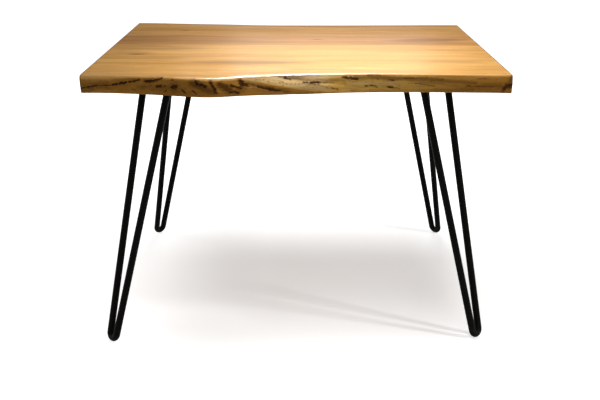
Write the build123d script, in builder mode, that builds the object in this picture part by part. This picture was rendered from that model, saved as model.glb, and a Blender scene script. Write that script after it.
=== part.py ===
from build123d import *
from math import acos, asin, atan2, cos, degrees, hypot, radians, sin
import os

# Live-edge hickory table on four splayed hairpin legs. Millimetres, +Z up, the
# front live edge towards -Y, origin on the floor under the middle of the slab.

# ---- Slab: four edge-glued boards ----
SLAB_LENGTH = 635.0  # between the two saw-cut ends
SLAB_THICKNESS = 27.4
MIDDLE_SEAM_Y = 22.0  # glue line between the two inner boards
MIDDLE_FRONT_WIDTH = 154.0
MIDDLE_BACK_WIDTH = 125.0
FRONT_WIDTH = 123.5  # of the front board at its narrowest
BACK_WIDTH = 128.0  # of the back board at its narrowest
ROUND_OVER = 4.5  # top of the live edges
ARRIS = 1.0  # eased edges of the saw-cut ends
TRIM = 6.0  # extra on a blank before it is cut to size

# How far a live edge stands out beyond the board's narrowest width, at stations from
# -1 at the left end of the slab to 1 at the right: (station, on the underside, at
# mid-thickness, on top).
FRONT_EDGE = [
    (-1.00, 14.5, 19.0, 19.0),
    (-0.72, 21.0, 25.5, 26.0),
    (-0.55, 33.5, 37.0, 36.0),
    (-0.40, 43.5, 47.5, 47.5),
    (-0.26, 33.0, 34.5, 32.0),
    (-0.04, 21.0, 24.5, 10.5),
    (0.18, 8.0, 8.5, 2.5),
    (0.50, 0.0, 3.5, 2.0),
    (1.00, 4.5, 7.0, 4.0),
]
BACK_EDGE = [
    (-1.00, 24.0, 28.5, 27.5),
    (-0.80, 22.0, 26.0, 24.5),
    (-0.60, 16.0, 18.5, 16.0),
    (-0.42, 12.5, 14.0, 11.0),
    (-0.26, 4.0, 5.5, 2.5),
    (-0.08, 0.0, 3.0, 1.0),
    (0.30, 1.5, 6.0, 4.0),
    (0.65, 8.5, 12.0, 10.0),
    (1.00, 15.5, 17.0, 14.0),
]

# ---- Biscuits: pressed beech lenses that line the boards up along each seam ----
BISCUIT_LENGTH = 56.0
BISCUIT_WIDTH = 23.0
BISCUIT_THICKNESS = 4.0
BISCUIT_TIP = 5.0  # width of the cut-off tips
BISCUIT_FIT = 0.1  # slot clearance on each face of a biscuit
SLOT_DEPTH = 12.5  # into each board
SLOT_CUTTER_RADIUS = 50.0

# ---- Hairpin legs: one bent rod each, welded under a screwed plate ----
LEG_HEIGHT = 406.4
ROD_DIAMETER = 11.1
HAIRPIN_WIDTH = 65.0  # between the rod centres under the plate
BEND_RADIUS = 8.6  # centre line of the rod at the foot
LEG_LEAN = 14.4  # degrees from upright, outwards
LEG_TURN = 42.5  # degrees from the slab's long side to the way a leg leans
LEG_FROM_END = 101.0  # leg centre to the end of the slab
LEG_FROM_FRONT_SEAM = 41.5  # leg centre into the front board
LEG_FROM_BACK_SEAM = 59.5  # leg centre into the back board
OFF_X = 2.5  # how far the hand-set legs are off that spacing
OFF_FRONT_Y = 10.0
OFF_BACK_Y = 3.0
WELD_LEG = 3.2

# ---- Leg plates and their screws ----
PLATE_SIDE = 100.0
PLATE_THICKNESS = 4.0
PLATE_CORNER = 10.0
PLATE_EASE = 0.5
SCREW_PITCH = 76.0  # square pattern
SCREW_SHANK = 5.0
SCREW_LENGTH = 19.0
SCREW_TIP = 4.0
SCREW_HEAD = 10.0
SCREW_HEAD_HEIGHT = 3.2
SCREW_HEAD_WALL = 1.6  # straight side of the head below its dome
PLATE_HOLE_FIT = 0.4  # round the shank in the plate
PILOT_FIT = 0.05  # round the shank in the wood
PILOT_SPARE = 1.0  # hole beyond the screw's point

# ---- Levels and places that follow from the sizes above ----
UNDERSIDE = LEG_HEIGHT
TABLE_TOP = UNDERSIDE + SLAB_THICKNESS
MID_THICKNESS = UNDERSIDE + SLAB_THICKNESS / 2
PLATE_UNDERSIDE = UNDERSIDE - PLATE_THICKNESS
FRONT_SEAM_Y = MIDDLE_SEAM_Y - MIDDLE_FRONT_WIDTH
BACK_SEAM_Y = MIDDLE_SEAM_Y + MIDDLE_BACK_WIDTH
ROD_RADIUS = ROD_DIAMETER / 2
PILOT_DEPTH = SCREW_LENGTH - PLATE_THICKNESS + PILOT_SPARE
LEG_X = SLAB_LENGTH / 2 - LEG_FROM_END
FRONT_LEG_Y = FRONT_SEAM_Y - LEG_FROM_FRONT_SEAM
BACK_LEG_Y = BACK_SEAM_Y + LEG_FROM_BACK_SEAM

# Which way each leg leans in x and y, and the middle of its plate.
LEGS = {
    "front_left": (-1, -1, -LEG_X - OFF_X, FRONT_LEG_Y - OFF_FRONT_Y),
    "front_right": (1, -1, LEG_X, FRONT_LEG_Y + OFF_FRONT_Y),
    "back_left": (-1, 1, -LEG_X + OFF_X, BACK_LEG_Y - OFF_BACK_Y),
    "back_right": (1, 1, LEG_X, BACK_LEG_Y + OFF_BACK_Y),
}

SEAMS = {"front_seam": FRONT_SEAM_Y, "middle_seam": MIDDLE_SEAM_Y, "back_seam": BACK_SEAM_Y}
# The outer biscuits sit midway between the two rows of leg screws.
BISCUITS = {"left": -LEG_X, "centre": 0.0, "right": LEG_X}


def leg_centre(leg):
    """Middle of a leg's plate, from above."""
    return LEGS[leg][2:]


def screw_places(leg):
    """The four screws of one leg's plate, by name."""
    x, y = leg_centre(leg)
    half = SCREW_PITCH / 2
    return {
        "front_left": (x - half, y - half),
        "front_right": (x + half, y - half),
        "back_left": (x - half, y + half),
        "back_right": (x + half, y + half),
    }


ALL_SCREWS = [place for leg in LEGS for place in screw_places(leg).values()]

os.makedirs("parts", exist_ok=True)


def save(part, name):
    part.label = name
    export_step(part, f"parts/{name}.step")


# ---- The boards ----
def joinery(seam_ys):
    """What the boards lose: biscuit slots along the seams, pilot holes for leg screws."""
    offset = SLOT_CUTTER_RADIUS - SLOT_DEPTH
    cuts = [(x, y + s * offset) for y in seam_ys for x in BISCUITS.values() for s in (-1, 1)]
    with BuildPart() as cutter:
        with BuildSketch(Plane.XY.offset(MID_THICKNESS)):
            with Locations(*cuts):
                Circle(SLOT_CUTTER_RADIUS)
        extrude(amount=BISCUIT_THICKNESS / 2 + BISCUIT_FIT, both=True)
        with BuildSketch(Plane.XY.offset(UNDERSIDE)):
            with Locations(*ALL_SCREWS):
                Circle(SCREW_SHANK / 2 + PILOT_FIT)
        extrude(amount=PILOT_DEPTH)
    return cutter.part


def inner_board(front_y, back_y):
    """A straight board between two seams."""
    with BuildPart() as board:
        with BuildSketch(Plane.XY.offset(UNDERSIDE)):
            with Locations((0, (front_y + back_y) / 2)):
                Rectangle(SLAB_LENGTH, back_y - front_y)
        extrude(amount=SLAB_THICKNESS)
        ends = board.faces().filter_by(Axis.X).edges()
        fillet(ends.filter_by(Axis.Y), ARRIS)
        add(joinery([front_y, back_y]), mode=Mode.SUBTRACT)
    return board


def live_board(seam_y, side, width, stations):
    """An outer board, straight at its seam and live at the front (-1) or back (1)."""
    reach = SLAB_LENGTH / 2 + TRIM
    spare_y = seam_y - side * TRIM
    widest = width + max(swell for station in stations for swell in station[1:]) + TRIM
    levels = (UNDERSIDE, MID_THICKNESS, TABLE_TOP)
    with BuildPart() as board:
        for level, height in enumerate(levels, start=1):
            edge = [(s[0] * reach, seam_y + side * (width + s[level])) for s in stations]
            with BuildSketch(Plane.XY.offset(height)):
                with BuildLine():
                    Spline(*edge)
                    Polyline(edge[0], (-reach, spare_y), (reach, spare_y), edge[-1])
                make_face()
        loft()
        with BuildSketch(Plane.XY.offset(UNDERSIDE)):
            with Locations((0, seam_y + side * widest / 2)):
                Rectangle(SLAB_LENGTH, widest)
        extrude(amount=SLAB_THICKNESS, mode=Mode.INTERSECT)
        top = board.faces().sort_by(Axis.Z)[-1]
        fillet(top.edges().sort_by(Axis.Y)[0 if side < 0 else -1], ROUND_OVER)
        ends = board.faces().filter_by(Axis.X).edges()
        fillet(ends.filter_by(Axis.Y), ARRIS)
        add(joinery([seam_y]), mode=Mode.SUBTRACT)
    return board


front_board = live_board(FRONT_SEAM_Y, -1, FRONT_WIDTH, FRONT_EDGE)
save(front_board.part, "front_board")

middle_front_board = inner_board(FRONT_SEAM_Y, MIDDLE_SEAM_Y)
save(middle_front_board.part, "middle_front_board")

middle_back_board = inner_board(MIDDLE_SEAM_Y, BACK_SEAM_Y)
save(middle_back_board.part, "middle_back_board")

back_board = live_board(BACK_SEAM_Y, 1, BACK_WIDTH, BACK_EDGE)
save(back_board.part, "back_board")


# ---- The biscuits ----
def seam_biscuit(x, seam_y):
    """One lens-shaped biscuit, half in each board."""
    half_length = BISCUIT_LENGTH / 2
    half_tip = BISCUIT_TIP / 2
    with BuildPart() as biscuit:
        with BuildSketch(Plane((x, seam_y, MID_THICKNESS))):
            with BuildLine():
                ThreePointArc((-half_length, half_tip), (0, BISCUIT_WIDTH / 2), (half_length, half_tip))
                ThreePointArc((-half_length, -half_tip), (0, -BISCUIT_WIDTH / 2), (half_length, -half_tip))
                Line((-half_length, -half_tip), (-half_length, half_tip))
                Line((half_length, -half_tip), (half_length, half_tip))
            make_face()
        extrude(amount=BISCUIT_THICKNESS / 2, both=True)
    return biscuit


for seam, seam_y in SEAMS.items():
    for place, x in BISCUITS.items():
        biscuit = seam_biscuit(x, seam_y)
        save(biscuit.part, f"{seam}_biscuit_{place}")


# ---- The legs ----
def leg_plane(leg):
    """The leaning plane of a hairpin: origin at the foot's centre line, y up the leg."""
    side, end = LEGS[leg][:2]
    turn = radians(LEG_TURN)
    outward = Vector(side * cos(turn), end * sin(turn), 0)
    upward = Vector(0, 0, 1) * cos(radians(LEG_LEAN)) - outward * sin(radians(LEG_LEAN))
    across = outward.cross(Vector(0, 0, 1))
    rise = PLATE_UNDERSIDE - ROD_RADIUS
    top = Vector(*leg_centre(leg), PLATE_UNDERSIDE)
    foot = top - upward * (rise / cos(radians(LEG_LEAN)))
    return Plane(origin=foot, x_dir=across, z_dir=across.cross(upward))


def hairpin_flare():
    """Angle in degrees between each straight run and the middle of the hairpin."""
    rise = (PLATE_UNDERSIDE - ROD_RADIUS) / cos(radians(LEG_LEAN)) - BEND_RADIUS
    half = HAIRPIN_WIDTH / 2
    return degrees(acos(BEND_RADIUS / hypot(half, rise)) - atan2(rise, half))


def leg_rod(leg):
    """Two straight runs joined by the U of the foot, cut off flat under the plate."""
    flare = hairpin_flare()
    run = LEG_HEIGHT / cos(radians(LEG_LEAN))
    with BuildPart() as rod:
        with BuildLine(leg_plane(leg)) as hairpin:
            foot = CenterArc((0, BEND_RADIUS), BEND_RADIUS, 180 + flare, 180 - 2 * flare)
            PolarLine(foot @ 0, run, 90 + flare)
            PolarLine(foot @ 1, run, 90 - flare)
        path = hairpin.wires()[0]
        with BuildSketch(Plane(path @ 0, z_dir=path % 0)):
            Circle(ROD_RADIUS)
        sweep(path=path)
        split(bisect_by=Plane.XY.offset(PLATE_UNDERSIDE), keep=Keep.BOTTOM)
    return rod


def rod_end_plane(leg, run_side):
    """Where a rod's centre line meets the plate, z along the rod, away from the foot."""
    plane = leg_plane(leg)
    flare = radians(hairpin_flare())
    along = plane.y_dir * cos(flare) + plane.x_dir * (run_side * sin(flare))
    end = Vector(*leg_centre(leg), PLATE_UNDERSIDE) + plane.x_dir * (run_side * HAIRPIN_WIDTH / 2)
    return Plane(origin=end, z_dir=along)


def rod_weld(leg, run_side, rod):
    """Fillet weld round one rod end, laid in the corner under the plate."""
    with BuildPart() as weld:
        with BuildSketch(rod_end_plane(leg, run_side).offset(-WELD_LEG)):
            Circle(ROD_RADIUS)
        extrude(amount=2 * WELD_LEG, taper=-45)
        split(bisect_by=Plane.XY.offset(PLATE_UNDERSIDE), keep=Keep.BOTTOM)
        add(rod.part, mode=Mode.SUBTRACT)
    return weld


def leg_plate(leg):
    """Square mounting plate with rounded corners and a screw hole near each."""
    x, y = leg_centre(leg)
    with BuildPart() as plate:
        with BuildSketch(Plane((x, y, PLATE_UNDERSIDE))):
            RectangleRounded(PLATE_SIDE, PLATE_SIDE, PLATE_CORNER)
            with GridLocations(SCREW_PITCH, SCREW_PITCH, 2, 2):
                Circle(SCREW_SHANK / 2 + PLATE_HOLE_FIT, mode=Mode.SUBTRACT)
        extrude(amount=PLATE_THICKNESS)
        rim = plate.faces().sort_by(Axis.Z)[0].outer_wire()
        chamfer(rim.edges(), PLATE_EASE)
    return plate


def leg_screw(x, y):
    """Pan-head wood screw driven up through the plate."""
    shank = SCREW_SHANK / 2
    head = SCREW_HEAD / 2
    dome_rise = SCREW_HEAD_HEIGHT - SCREW_HEAD_WALL
    dome_radius = (head**2 + dome_rise**2) / (2 * dome_rise)
    with BuildPart() as screw:
        with BuildSketch(Plane((x, y, PLATE_UNDERSIDE), x_dir=(1, 0, 0), z_dir=(0, -1, 0))):
            with BuildLine():
                dome = JernArc((0, -SCREW_HEAD_HEIGHT), (1, 0), dome_radius, degrees(asin(head / dome_radius)))
                Polyline(dome @ 1, (head, 0), (shank, 0), (shank, SCREW_LENGTH - SCREW_TIP),
                         (0, SCREW_LENGTH), (0, -SCREW_HEAD_HEIGHT))
            make_face()
        revolve(axis=Axis((x, y, 0), (0, 0, 1)))
    return screw


for leg in LEGS:
    plate = leg_plate(leg)
    save(plate.part, f"{leg}_leg_plate")

    rod = leg_rod(leg)
    save(rod.part, f"{leg}_leg_rod")

    for run_name, run_side in (("outer", 1), ("inner", -1)):
        weld = rod_weld(leg, run_side, rod)
        save(weld.part, f"{leg}_{run_name}_weld")

    for corner, (x, y) in screw_places(leg).items():
        screw = leg_screw(x, y)
        save(screw.part, f"{leg}_leg_screw_{corner}")
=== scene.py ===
import math

import bpy
import numpy as np
from mathutils import Matrix, Vector, noise
from mathutils.bvhtree import BVHTree


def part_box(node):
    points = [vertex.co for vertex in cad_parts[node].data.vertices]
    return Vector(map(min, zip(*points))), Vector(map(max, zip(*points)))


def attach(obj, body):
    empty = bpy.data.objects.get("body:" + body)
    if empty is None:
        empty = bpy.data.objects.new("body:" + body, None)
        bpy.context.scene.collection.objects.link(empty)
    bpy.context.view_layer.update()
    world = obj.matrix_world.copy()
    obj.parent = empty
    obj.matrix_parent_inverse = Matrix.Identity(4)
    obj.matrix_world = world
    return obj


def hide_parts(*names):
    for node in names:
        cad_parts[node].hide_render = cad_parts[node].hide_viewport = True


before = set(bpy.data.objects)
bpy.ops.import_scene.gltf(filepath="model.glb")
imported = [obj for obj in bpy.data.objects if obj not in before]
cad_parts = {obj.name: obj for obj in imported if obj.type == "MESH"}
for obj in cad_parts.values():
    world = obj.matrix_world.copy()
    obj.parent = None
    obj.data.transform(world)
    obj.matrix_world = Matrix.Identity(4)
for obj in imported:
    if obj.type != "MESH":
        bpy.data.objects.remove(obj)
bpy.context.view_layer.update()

# ---- The two straight inner boards ----
# Flat-sawn hickory, planed, edge-glued with biscuits in the seams, sanded and given a
# satin oil-varnish. The boards keep their own solids; the figure runs through the wood,
# so the ends show the rings of the same log.


def feed(tree, node, feeds):
    """Links or fills a node's inputs."""
    for socket, value in feeds.items():
        if isinstance(value, bpy.types.NodeSocket):
            tree.links.new(value, node.inputs[socket])
        else:
            node.inputs[socket].default_value = value


def add_node(tree, kind, feeds=None, out=0, **options):
    """Adds one node, sets its options, feeds it, and gives one of its outputs."""
    made = tree.nodes.new(kind)
    for option, choice in options.items():
        setattr(made, option, choice)
    feed(tree, made, feeds or {})
    return made.outputs[out]


def calc(tree, operation, *values):
    """A Math node's result."""
    feeds = dict(enumerate(values))
    return add_node(tree, "ShaderNodeMath", feeds, operation=operation)


def times(tree, value, other):
    return calc(tree, "MULTIPLY", value, other)


def vector_calc(tree, operation, *values):
    """A Vector Math node's vector."""
    feeds = dict(enumerate(values))
    return add_node(tree, "ShaderNodeVectorMath", feeds, operation=operation)


def scaled(tree, vector, amount):
    """A vector, or a colour, made larger or smaller."""
    feeds = {0: vector, "Scale": amount}
    return add_node(tree, "ShaderNodeVectorMath", feeds, operation="SCALE")


def vector_length(tree, vector):
    return add_node(tree, "ShaderNodeVectorMath", {0: vector}, out="Value", operation="LENGTH")


def ramp(tree, value, low, high, start=0.0, end=1.0):
    """Eases from start to end while the value goes from low to high."""
    feeds = {"Value": value, "From Min": low, "From Max": high, "To Min": start, "To Max": end}
    return add_node(tree, "ShaderNodeMapRange", feeds, interpolation_type="SMOOTHSTEP")


def blend_colours(tree, amount, under, over, mode="MIX"):
    """Lays one colour over another, by an amount from 0 to 1."""
    under, over = (
        colour if isinstance(colour, bpy.types.NodeSocket) else (*colour, 1.0)
        for colour in (under, over)
    )
    feeds = {0: amount, 6: under, 7: over}
    return add_node(
        tree, "ShaderNodeMix", feeds, out=2, data_type="RGBA", blend_type=mode, clamp_factor=True
    )


def cloud(tree, place, stretch, detail=2.0, roughness=0.5, distortion=0.0, result="Fac"):
    """Noise whose blobs are 1 / stretch long in x, y and z."""
    return add_node(tree, "ShaderNodeTexNoise", {
        "Vector": vector_calc(tree, "MULTIPLY", place, stretch), "Scale": 1.0,
        "Detail": detail, "Roughness": roughness, "Distortion": distortion,
    }, out=result)


def effect_group(name, inputs, outputs):
    """An empty shader group. An input's kind follows from how many numbers it takes."""
    group = bpy.data.node_groups.new(name, "ShaderNodeTree")
    kinds = {1: "NodeSocketFloat", 3: "NodeSocketVector", 4: "NodeSocketColor"}
    for label, value in inputs.items():
        kind = kinds[np.size(value)]
        group.interface.new_socket(label, in_out="INPUT", socket_type=kind).default_value = value
    for label in outputs:
        kind = kinds[4 if label == "Color" else 1]
        group.interface.new_socket(label, in_out="OUTPUT", socket_type=kind)
    inlet = group.nodes.new("NodeGroupInput")
    outlet = group.nodes.new("NodeGroupOutput")
    return group, inlet.outputs, outlet.inputs


def give_out(group, result, masks):
    """Links a group's results to its named outputs."""
    for label, mask in masks.items():
        group.links.new(mask, result[label])


def hickory_figure():
    """Growth rings round the log's heart, with fibres, pores and one knot they part round."""
    group, given, result = effect_group(
        "hickory_figure",
        {"Place": (0, 0, 0), "Seed": 0.0, "Heart": (0, 0, 0), "Ring Gap": 0.004,
         "Wander": 0.03, "Knot": (0, 0, 0), "Knot Size": 0.02},
        ["Rings", "Fibres", "Pores", "Tone", "Streaks", "Knot Core"],
    )
    # A board's seed moves it to wood of its own.
    shift = scaled(group, (5.3, 2.9, 1.7), given["Seed"])
    place = vector_calc(group, "ADD", given["Place"], shift)

    # The heart wanders along the log.
    drift = cloud(group, place, (2.4, 7.0, 7.0), detail=1.5, result="Color")
    drift = vector_calc(group, "SUBTRACT", drift, (0.5, 0.5, 0.5))
    drift = scaled(group, drift, given["Wander"])

    # The knot is longer with the grain, and pushes the rings out round itself.
    from_knot = vector_calc(group, "SUBTRACT", given["Place"], given["Knot"])
    from_knot = vector_calc(group, "MULTIPLY", from_knot, (0.42, 1.0, 0.35))
    knot_reach = calc(group, "DIVIDE", vector_length(group, from_knot), given["Knot Size"])
    knot_swell = calc(group, "EXPONENT", times(group, knot_reach, -0.9))
    knot_push = times(group, knot_swell, given["Knot Size"])

    across = vector_calc(group, "SUBTRACT", given["Place"], given["Heart"])
    across = vector_calc(group, "ADD", across, drift)
    across = vector_calc(group, "MULTIPLY", across, (0.0, 1.0, 1.0))
    radius = calc(group, "ADD", vector_length(group, across), knot_push)
    ripple = cloud(group, place, (9.0, 60.0, 60.0))
    rings = calc(group, "DIVIDE", radius, given["Ring Gap"])
    rings = calc(group, "ADD", rings, times(group, ripple, 0.7))
    within = calc(group, "FRACT", rings)
    late = ramp(group, within, 0.25, 0.92)
    early = ramp(group, within, 0.93, 1.0)
    line = times(group, late, calc(group, "SUBTRACT", 1.0, early))
    # Some years leave a stronger line than others.
    strength = add_node(
        group, "ShaderNodeTexWhiteNoise", {"W": calc(group, "FLOOR", rings)}, out="Value",
        noise_dimensions="1D",
    )
    strength = ramp(group, strength, 0.0, 1.0, 0.25, 1.0)

    fibres = cloud(group, place, (14.0, 620.0, 620.0), detail=3.0, roughness=0.6)
    pores = cloud(group, place, (70.0, 1900.0, 1900.0), detail=1.0)
    open_wood = calc(group, "SUBTRACT", 1.0, late)
    tone = cloud(group, place, (3.2, 26.0, 18.0), detail=3.0, roughness=0.55)
    streaks = cloud(group, place, (7.0, 95.0, 45.0), detail=3.0, roughness=0.6)
    give_out(group, result, {
        "Rings": times(group, line, strength),
        "Fibres": ramp(group, fibres, 0.3, 0.7),
        "Pores": times(group, ramp(group, pores, 0.6, 0.72), open_wood),
        "Tone": ramp(group, tone, 0.3, 0.72),
        "Streaks": ramp(group, streaks, 0.3, 0.7),
        "Knot Core": ramp(group, knot_reach, 0.12, 0.75, 1.0, 0.0),
    })
    return group


def heart_stain():
    """A long ragged patch of darker heartwood that goes through the board."""
    group, given, result = effect_group(
        "heart_stain",
        {"Place": (0, 0, 0), "Middle": (0, 0, 0), "Length": 0.1, "Width": 0.02, "Turn": 0.0},
        ["Patch"],
    )
    away = vector_calc(group, "SUBTRACT", given["Place"], given["Middle"])
    turned = add_node(
        group, "ShaderNodeVectorRotate", {"Vector": away, "Angle": given["Turn"]},
        rotation_type="Z_AXIS",
    )
    right_through = 1000.0
    size = add_node(
        group, "ShaderNodeCombineXYZ",
        {0: given["Length"], 1: given["Width"], 2: right_through},
    )
    reach = vector_length(group, vector_calc(group, "DIVIDE", turned, size))
    ragged = cloud(group, given["Place"], (7.0, 75.0, 40.0), detail=3.0, roughness=0.6)
    ragged = times(group, calc(group, "SUBTRACT", ragged, 0.5), 1.1)
    reach = calc(group, "ADD", reach, ragged)
    give_out(group, result, {"Patch": ramp(group, reach, 0.35, 1.0, 1.0, 0.0)})
    return group


FIGURE = hickory_figure()
STAIN = heart_stain()
FRONT_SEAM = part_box("middle_front_board")[0].y
MIDDLE_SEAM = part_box("middle_front_board")[1].y
BACK_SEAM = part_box("middle_back_board")[1].y
SLAB_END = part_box("middle_front_board")[1].x


def use_group(tree, group, feeds):
    return add_node(tree, "ShaderNodeGroup", feeds, node_tree=group).node.outputs


def new_finish(name):
    """A material with its tree, its shader, and the place on the piece for its pattern."""
    material = bpy.data.materials.new(name)
    material.use_nodes = True
    tree = material.node_tree
    place = add_node(tree, "ShaderNodeTexCoord", out="Object")
    return material, tree, tree.nodes["Principled BSDF"], place


def relief(tree, height, strength, depth, **more):
    """The normal of a surface raised by height; depth is in metres."""
    feeds = {"Height": height, "Strength": strength, "Distance": depth, **more}
    return add_node(tree, "ShaderNodeBump", feeds)


def hickory(name, light, dark, ring_line, pore, heartwood, seed, heart, ring_gap, wander,
            knot, knot_size, stains, seams):
    """Sanded and varnished hickory.

    heart and knot are places in the log. Each of the stains is its middle in plan, its
    length, width, turn and strength. seams are the y of the board's glue lines.
    """
    material, tree, shader, place = new_finish(name)
    figure = use_group(tree, FIGURE, {
        "Place": place, "Seed": seed, "Heart": heart, "Ring Gap": ring_gap,
        "Wander": wander, "Knot": knot, "Knot Size": knot_size,
    })
    ring_strength, pore_strength, knot_strength = 0.3, 0.5, 0.75
    mid_board = 0.42
    colour = blend_colours(tree, figure["Tone"], light, dark)
    for middle, length, width, turn, strength in stains:
        patch = use_group(tree, STAIN, {
            "Place": place, "Middle": (*middle, mid_board), "Length": length,
            "Width": width, "Turn": turn,
        })["Patch"]
        colour = blend_colours(tree, times(tree, patch, strength), colour, heartwood)
    colour = blend_colours(tree, times(tree, figure["Rings"], ring_strength), colour, ring_line)
    shade = times(
        tree, ramp(tree, figure["Fibres"], 0.0, 1.0, 0.92, 1.05),
        ramp(tree, figure["Streaks"], 0.0, 1.0, 0.91, 1.05),
    )
    colour = scaled(tree, colour, shade)
    colour = blend_colours(tree, times(tree, figure["Pores"], pore_strength), colour, pore)
    colour = blend_colours(tree, times(tree, figure["Knot Core"], knot_strength), colour, pore)

    parts = add_node(tree, "ShaderNodeSeparateXYZ", {0: place}).node.outputs
    for seam_y in seams:
        off = calc(tree, "ABSOLUTE", calc(tree, "SUBTRACT", parts["Y"], seam_y))
        glue = ramp(tree, off, 0.0001, 0.0007, 0.55, 0.0)
        colour = blend_colours(tree, glue, colour, pore)
    # The saw-cut ends drink more finish, so they are darker, their eased edge most of all.
    from_middle = calc(tree, "ABSOLUTE", parts["X"])
    ends = ramp(tree, from_middle, SLAB_END - 0.0026, SLAB_END - 0.0008)
    arris = ramp(tree, from_middle, SLAB_END - 0.0006, SLAB_END - 0.0001, 0.85, 0.0)
    end_tint, arris_tint = (0.48, 0.38, 0.29), (0.4, 0.32, 0.25)
    for amount, tint in ((0.8, end_tint), (arris, arris_tint)):
        colour = blend_colours(tree, times(tree, ends, amount), colour, tint, "MULTIPLY")

    smears = cloud(tree, place, (9.0, 22.0, 20.0), detail=3.0)
    rough = ramp(tree, smears, 0.3, 0.7, 0.3, 0.4)
    raised = calc(tree, "SUBTRACT", times(tree, figure["Fibres"], 0.4), figure["Pores"])
    feed(tree, shader, {
        "Base Color": colour,
        "Roughness": calc(tree, "ADD", rough, times(tree, figure["Pores"], 0.12)),
        "Specular IOR Level": 0.0, "Coat Weight": 0.05, "Coat Roughness": 0.3,
        "Normal": relief(tree, raised, strength=0.12, depth=0.0004),
    })
    return material


def finish_node(node, material):
    """Gives a solid of the frame its material."""
    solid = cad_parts[node]
    solid.data.materials.clear()
    solid.data.materials.append(material)


finish_node("middle_front_board", hickory(
    "middle_front_hickory",
    light=(0.782, 0.431, 0.132), dark=(0.644, 0.322, 0.086), ring_line=(0.506, 0.224, 0.055),
    pore=(0.23, 0.092, 0.021), heartwood=(0.391, 0.19, 0.069),
    seed=1.0, heart=(0.0, -0.066, 0.325), ring_gap=0.0052, wander=0.05,
    knot=(-0.262, -0.083, 0.4338), knot_size=0.012,
    stains=[((-0.27, -0.07), 0.05, 0.03, 0.3, 0.35), ((-0.26, -0.01), 0.14, 0.05, 0.0, 0.4)],
    seams=[FRONT_SEAM, MIDDLE_SEAM],
))
finish_node("middle_back_board", hickory(
    "middle_back_hickory",
    light=(0.667, 0.345, 0.109), dark=(0.517, 0.236, 0.069), ring_line=(0.38, 0.161, 0.046),
    pore=(0.172, 0.063, 0.016), heartwood=(0.276, 0.132, 0.057),
    seed=4.0, heart=(0.0, 0.115, 0.35), ring_gap=0.0045, wander=0.06,
    knot=(0.035, 0.088, 0.4338), knot_size=0.008,
    stains=[((0.235, 0.085), 0.1, 0.03, -0.12, 0.7), ((-0.30, 0.075), 0.12, 0.07, 0.0, 0.45),
            ((-0.14, 0.05), 0.16, 0.035, 0.0, 0.2)],
    seams=[MIDDLE_SEAM, BACK_SEAM],
))

# ---- The front board ----
# Hickory with the bark off along the front: the skin under the bark is left as it grew,
# brushed and varnished, with its beetle tracks, cracks and a charred right-hand corner.

front_wood = hickory(
    "front_hickory",
    light=(0.793, 0.443, 0.138), dark=(0.667, 0.339, 0.092), ring_line=(0.529, 0.241, 0.06),
    pore=(0.23, 0.092, 0.021), heartwood=(0.356, 0.19, 0.086),
    seed=7.0, heart=(0.0, -0.21, 0.30), ring_gap=0.0055, wander=0.05,
    knot=(0.6, -0.2, 0.4338), knot_size=0.008,
    stains=[((-0.07, -0.16), 0.13, 0.026, 0.03, 0.7), ((0.24, -0.15), 0.09, 0.02, 0.0, 0.3)],
    seams=[FRONT_SEAM],
)


def live_skin():
    """Colour and roughness of a live edge: golden skin, darker weathering streaks, brown
    weathering and painted shade where the Shade mask lies, char.
    """
    group, given, result = effect_group(
        "live_skin",
        {"Place": (0, 0, 0), "Wood": (0.5, 0.3, 0.1, 1), "Skin": 0.0, "Pale": 0.0,
         "Tracks": 0.0, "Shade": 0.0},
        ["Color", "Roughness", "Height"],
    )
    golden, tan, streak = (0.46, 0.218, 0.038), (0.33, 0.142, 0.02), (0.18, 0.07, 0.011)
    inner_bark, sapwood = (0.60, 0.335, 0.072), (0.62, 0.41, 0.165)
    # The dark brown of the Shade mask is weathering in places and painted shade in others.
    weathering_and_shade, char = (0.092, 0.034, 0.0055), (0.05, 0.017, 0.004)
    place = given["Place"]
    broad = cloud(group, place, (8.0, 20.0, 55.0), detail=4.0, roughness=0.6)
    fine = cloud(group, place, (42.0, 300.0, 480.0), detail=4.0, roughness=0.65, distortion=0.4)
    skin = blend_colours(group, ramp(group, broad, 0.3, 0.7), golden, tan)
    # Half pale is golden inner bark, fully pale is bare sapwood; on the front, part of the pale
    # mask is painted highlight.
    skin = blend_colours(group, ramp(group, given["Pale"], 0.0, 0.5), skin, inner_bark)
    skin = blend_colours(group, ramp(group, given["Pale"], 0.5, 1.0), skin, sapwood)
    skin = blend_colours(group, ramp(group, fine, 0.45, 0.75, 0.0, 0.5), skin, streak)
    skin = blend_colours(group, given["Shade"], skin, weathering_and_shade)
    bare = blend_colours(group, given["Shade"], given["Wood"], weathering_and_shade)
    colour = blend_colours(group, given["Skin"], bare, skin)
    colour = blend_colours(group, given["Tracks"], colour, char)
    rough = ramp(group, fine, 0.3, 0.7, 0.36, 0.5)
    rough = calc(group, "ADD", rough, times(group, given["Tracks"], 0.3))
    give_out(group, result, {"Color": colour, "Roughness": rough, "Height": fine})
    return group


LIVE_SKIN = live_skin()


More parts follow.
